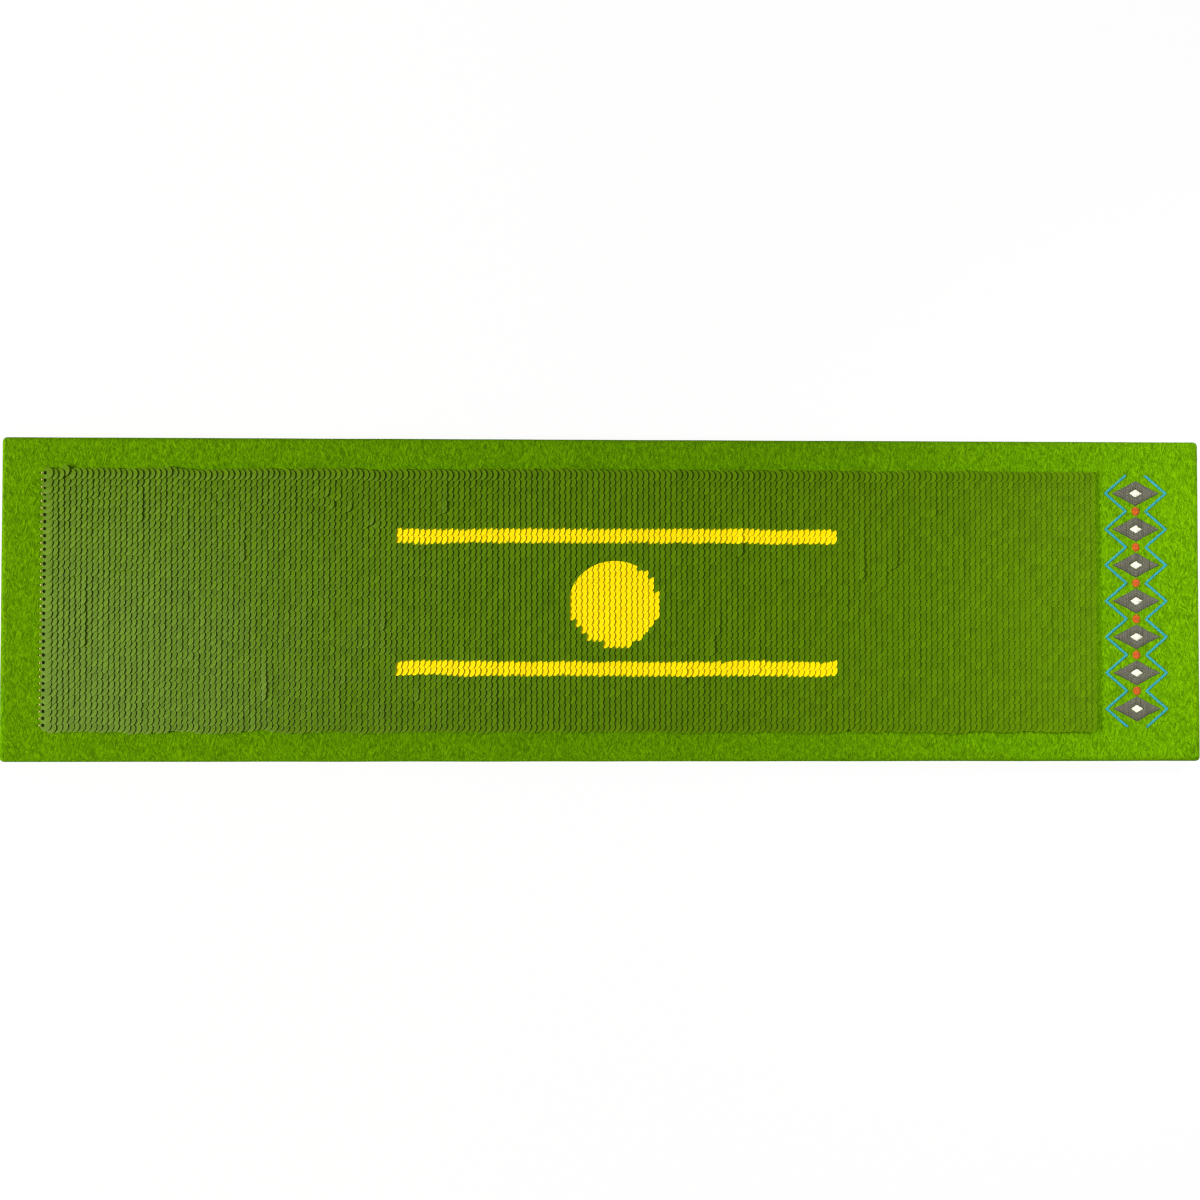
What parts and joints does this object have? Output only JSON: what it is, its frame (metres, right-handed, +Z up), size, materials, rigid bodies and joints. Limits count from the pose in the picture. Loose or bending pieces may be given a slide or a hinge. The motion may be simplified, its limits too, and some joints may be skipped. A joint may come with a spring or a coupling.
{
  "type": "golf hitting mat",
  "caption": "Flat felt-covered board with a field of round flip sequins sewn at one edge, which turn over to show a club's path, and an embroidered end band.",
  "frame": {"origin": "middle of the underside of the grip sheet", "axes": "+X along the board towards the embroidered end, +Y across the board, +Z up"},
  "size_m": [0.61, 0.164, 0.0168],
  "materials": {
    "felt": "matte",
    "sequin_film": "satin",
    "sewing_thread": "satin",
    "foam": "matte",
    "plate_plastic": "satin",
    "rubber_sheet": "matte",
    "charcoal_thread": "satin",
    "cream_thread": "satin",
    "teal_thread": "satin",
    "orange_thread": "satin"
  },
  "bodies": {
    "mat": {"grip_sheet": "rubber_sheet", "base_plate": "plate_plastic", "foam_pad": "foam", "felt_cover": "felt", "sequins_left": "sequin_film", "sequins_right": "sequin_film", "edge_sequins": "sequin_film", "edge_stitches": "sewing_thread", "flip_stitches": "sewing_thread", "embroidered_lozenges": "charcoal_thread", "embroidered_centres": "cream_thread", "embroidered_zigzags": "teal_thread", "embroidered_dots": "orange_thread"},
    "sequin_column_01": {"sequin_column_01": "sequin_film"},
    "sequin_column_02": {"sequin_column_02": "sequin_film"},
    "sequin_column_03": {"sequin_column_03": "sequin_film"},
    "sequin_column_04": {"sequin_column_04": "sequin_film"},
    "sequin_column_05": {"sequin_column_05": "sequin_film"},
    "sequin_column_06": {"sequin_column_06": "sequin_film"},
    "sequin_column_07": {"sequin_column_07": "sequin_film"},
    "sequin_column_08": {"sequin_column_08": "sequin_film"},
    "sequin_column_09": {"sequin_column_09": "sequin_film"},
    "sequin_column_10": {"sequin_column_10": "sequin_film"},
    "sequin_column_11": {"sequin_column_11": "sequin_film"},
    "sequin_column_12": {"sequin_column_12": "sequin_film"},
    "sequin_column_13": {"sequin_column_13": "sequin_film"},
    "sequin_column_14": {"sequin_column_14": "sequin_film"},
    "sequin_column_15": {"sequin_column_15": "sequin_film"},
    "sequin_column_16": {"sequin_column_16": "sequin_film"},
    "sequin_column_17": {"sequin_column_17": "sequin_film"},
    "sequin_column_18": {"sequin_column_18": "sequin_film"},
    "sequin_column_19": {"sequin_column_19": "sequin_film"},
    "sequin_column_20": {"sequin_column_20": "sequin_film"},
    "sequin_column_21": {"sequin_column_21": "sequin_film"},
    "sequin_column_22": {"sequin_column_22": "sequin_film"},
    "sequin_column_23": {"sequin_column_23": "sequin_film"},
    "sequin_column_24": {"sequin_column_24": "sequin_film"},
    "sequin_column_25": {"sequin_column_25": "sequin_film"},
    "sequin_column_26": {"sequin_column_26": "sequin_film"},
    "sequin_column_27": {"sequin_column_27": "sequin_film"},
    "sequin_column_28": {"sequin_column_28": "sequin_film"},
    "sequin_column_29": {"sequin_column_29": "sequin_film"},
    "sequin_column_30": {"sequin_column_30": "sequin_film"},
    "sequin_column_31": {"sequin_column_31": "sequin_film"},
    "sequin_column_32": {"sequin_column_32": "sequin_film"}
  },
  "joints": [
    {"name": "flip_01", "type": "hinge", "parent": "mat", "child": "sequin_column_01", "pos_m": [-0.05745, 0, 0.01532], "axis": [0, -1, 0], "range_deg": [0, 2]},
    {"name": "flip_02", "type": "hinge", "parent": "mat", "child": "sequin_column_02", "pos_m": [-0.05462, 0, 0.01532], "axis": [0, -1, 0], "range_deg": [0, 4.62]},
    {"name": "flip_03", "type": "hinge", "parent": "mat", "child": "sequin_column_03", "pos_m": [-0.05179, 0, 0.01532], "axis": [0, -1, 0], "range_deg": [0, 8.42]},
    {"name": "flip_04", "type": "hinge", "parent": "mat", "child": "sequin_column_04", "pos_m": [-0.04896, 0, 0.01532], "axis": [0, -1, 0], "range_deg": [0, 14.19]},
    {"name": "flip_05", "type": "hinge", "parent": "mat", "child": "sequin_column_05", "pos_m": [-0.04613, 0, 0.01532], "axis": [0, -1, 0], "range_deg": [0, 23.01]},
    {"name": "flip_06", "type": "hinge", "parent": "mat", "child": "sequin_column_06", "pos_m": [-0.0433, 0, 0.01532], "axis": [0, -1, 0], "range_deg": [0, 36.12]},
    {"name": "flip_07", "type": "hinge", "parent": "mat", "child": "sequin_column_07", "pos_m": [-0.04047, 0, 0.01532], "axis": [0, -1, 0], "range_deg": [0, 54.22]},
    {"name": "flip_08", "type": "hinge", "parent": "mat", "child": "sequin_column_08", "pos_m": [-0.03764, 0, 0.01532], "axis": [0, -1, 0], "range_deg": [0, 76.01]},
    {"name": "flip_09", "type": "hinge", "parent": "mat", "child": "sequin_column_09", "pos_m": [-0.03481, 0, 0.01532], "axis": [0, -1, 0], "range_deg": [0, 97.8]},
    {"name": "flip_10", "type": "hinge", "parent": "mat", "child": "sequin_column_10", "pos_m": [-0.03198, 0, 0.01532], "axis": [0, -1, 0], "range_deg": [0, 115.9]},
    {"name": "flip_11", "type": "hinge", "parent": "mat", "child": "sequin_column_11", "pos_m": [-0.02915, 0, 0.01532], "axis": [0, -1, 0], "range_deg": [0, 129.01]},
    {"name": "flip_12", "type": "hinge", "parent": "mat", "child": "sequin_column_12", "pos_m": [-0.02632, 0, 0.01532], "axis": [0, -1, 0], "range_deg": [0, 137.83]},
    {"name": "flip_13", "type": "hinge", "parent": "mat", "child": "sequin_column_13", "pos_m": [-0.02349, 0, 0.01532], "axis": [0, -1, 0], "range_deg": [0, 143.6]},
    {"name": "flip_14", "type": "hinge", "parent": "mat", "child": "sequin_column_14", "pos_m": [-0.02066, 0, 0.01532], "axis": [0, -1, 0], "range_deg": [0, 147.4]},
    {"name": "flip_15", "type": "hinge", "parent": "mat", "child": "sequin_column_15", "pos_m": [-0.01783, 0, 0.01532], "axis": [0, -1, 0], "range_deg": [0, 150.02]},
    {"name": "flip_16", "type": "hinge", "parent": "mat", "child": "sequin_column_16", "pos_m": [-0.015, 0, 0.01532], "axis": [0, -1, 0], "range_deg": [0, 152.01]},
    {"name": "flip_17", "type": "hinge", "parent": "mat", "child": "sequin_column_17", "pos_m": [-0.01217, 0, 0.01532], "axis": [0, -1, 0], "range_deg": [0, 152.01]},
    {"name": "flip_18", "type": "hinge", "parent": "mat", "child": "sequin_column_18", "pos_m": [-0.00934, 0, 0.01532], "axis": [0, -1, 0], "range_deg": [0, 152.01]},
    {"name": "flip_19", "type": "hinge", "parent": "mat", "child": "sequin_column_19", "pos_m": [-0.00651, 0, 0.01532], "axis": [0, -1, 0], "range_deg": [0, 152.01]},
    {"name": "flip_20", "type": "hinge", "parent": "mat", "child": "sequin_column_20", "pos_m": [-0.00368, 0, 0.01532], "axis": [0, -1, 0], "range_deg": [0, 152.01]},
    {"name": "flip_21", "type": "hinge", "parent": "mat", "child": "sequin_column_21", "pos_m": [-0.00085, 0, 0.01532], "axis": [0, -1, 0], "range_deg": [0, 152.01]},
    {"name": "flip_22", "type": "hinge", "parent": "mat", "child": "sequin_column_22", "pos_m": [0.00198, 0, 0.01532], "axis": [0, -1, 0], "range_deg": [0, 152.01]},
    {"name": "flip_23", "type": "hinge", "parent": "mat", "child": "sequin_column_23", "pos_m": [0.00481, 0, 0.01532], "axis": [0, -1, 0], "range_deg": [0, 152.01]},
    {"name": "flip_24", "type": "hinge", "parent": "mat", "child": "sequin_column_24", "pos_m": [0.00764, 0, 0.01532], "axis": [0, -1, 0], "range_deg": [0, 152.01]},
    {"name": "flip_25", "type": "hinge", "parent": "mat", "child": "sequin_column_25", "pos_m": [0.01047, 0, 0.01532], "axis": [0, -1, 0], "range_deg": [0, 152.01]},
    {"name": "flip_26", "type": "hinge", "parent": "mat", "child": "sequin_column_26", "pos_m": [0.0133, 0, 0.01532], "axis": [0, -1, 0], "range_deg": [0, 152.01]},
    {"name": "flip_27", "type": "hinge", "parent": "mat", "child": "sequin_column_27", "pos_m": [0.01613, 0, 0.01532], "axis": [0, -1, 0], "range_deg": [0, 152.01]},
    {"name": "flip_28", "type": "hinge", "parent": "mat", "child": "sequin_column_28", "pos_m": [0.01896, 0, 0.01532], "axis": [0, -1, 0], "range_deg": [0, 152.01]},
    {"name": "flip_29", "type": "hinge", "parent": "mat", "child": "sequin_column_29", "pos_m": [0.02179, 0, 0.01532], "axis": [0, -1, 0], "range_deg": [0, 152.01]},
    {"name": "flip_30", "type": "hinge", "parent": "mat", "child": "sequin_column_30", "pos_m": [0.02462, 0, 0.01532], "axis": [0, -1, 0], "range_deg": [0, 152.01]},
    {"name": "flip_31", "type": "hinge", "parent": "mat", "child": "sequin_column_31", "pos_m": [0.02745, 0, 0.01532], "axis": [0, -1, 0], "range_deg": [0, 152.01]},
    {"name": "flip_32", "type": "hinge", "parent": "mat", "child": "sequin_column_32", "pos_m": [0.03028, 0, 0.01532], "axis": [0, -1, 0], "range_deg": [0, 152]}
  ],
  "couplings": [
    {"joint": "flip_01", "follows": "flip_32", "ratio": 0.013091},
    {"joint": "flip_02", "follows": "flip_32", "ratio": 0.030305},
    {"joint": "flip_03", "follows": "flip_32", "ratio": 0.055298},
    {"joint": "flip_04", "follows": "flip_32", "ratio": 0.093263},
    {"joint": "flip_05", "follows": "flip_32", "ratio": 0.1513},
    {"joint": "flip_06", "follows": "flip_32", "ratio": 0.23758},
    {"joint": "flip_07", "follows": "flip_32", "ratio": 0.35662},
    {"joint": "flip_08", "follows": "flip_32", "ratio": 0.5},
    {"joint": "flip_09", "follows": "flip_32", "ratio": 0.64338},
    {"joint": "flip_10", "follows": "flip_32", "ratio": 0.76242},
    {"joint": "flip_11", "follows": "flip_32", "ratio": 0.8487},
    {"joint": "flip_12", "follows": "flip_32", "ratio": 0.90674},
    {"joint": "flip_13", "follows": "flip_32", "ratio": 0.9447},
    {"joint": "flip_14", "follows": "flip_32", "ratio": 0.96969},
    {"joint": "flip_15", "follows": "flip_32", "ratio": 0.98691},
    {"joint": "flip_16", "follows": "flip_32", "ratio": 1},
    {"joint": "flip_17", "follows": "flip_32", "ratio": 1},
    {"joint": "flip_18", "follows": "flip_32", "ratio": 1},
    {"joint": "flip_19", "follows": "flip_32", "ratio": 1},
    {"joint": "flip_20", "follows": "flip_32", "ratio": 1},
    {"joint": "flip_21", "follows": "flip_32", "ratio": 1},
    {"joint": "flip_22", "follows": "flip_32", "ratio": 1},
    {"joint": "flip_23", "follows": "flip_32", "ratio": 1},
    {"joint": "flip_24", "follows": "flip_32", "ratio": 1},
    {"joint": "flip_25", "follows": "flip_32", "ratio": 1},
    {"joint": "flip_26", "follows": "flip_32", "ratio": 1},
    {"joint": "flip_27", "follows": "flip_32", "ratio": 1},
    {"joint": "flip_28", "follows": "flip_32", "ratio": 1},
    {"joint": "flip_29", "follows": "flip_32", "ratio": 1},
    {"joint": "flip_30", "follows": "flip_32", "ratio": 1},
    {"joint": "flip_31", "follows": "flip_32", "ratio": 1}
  ]
}
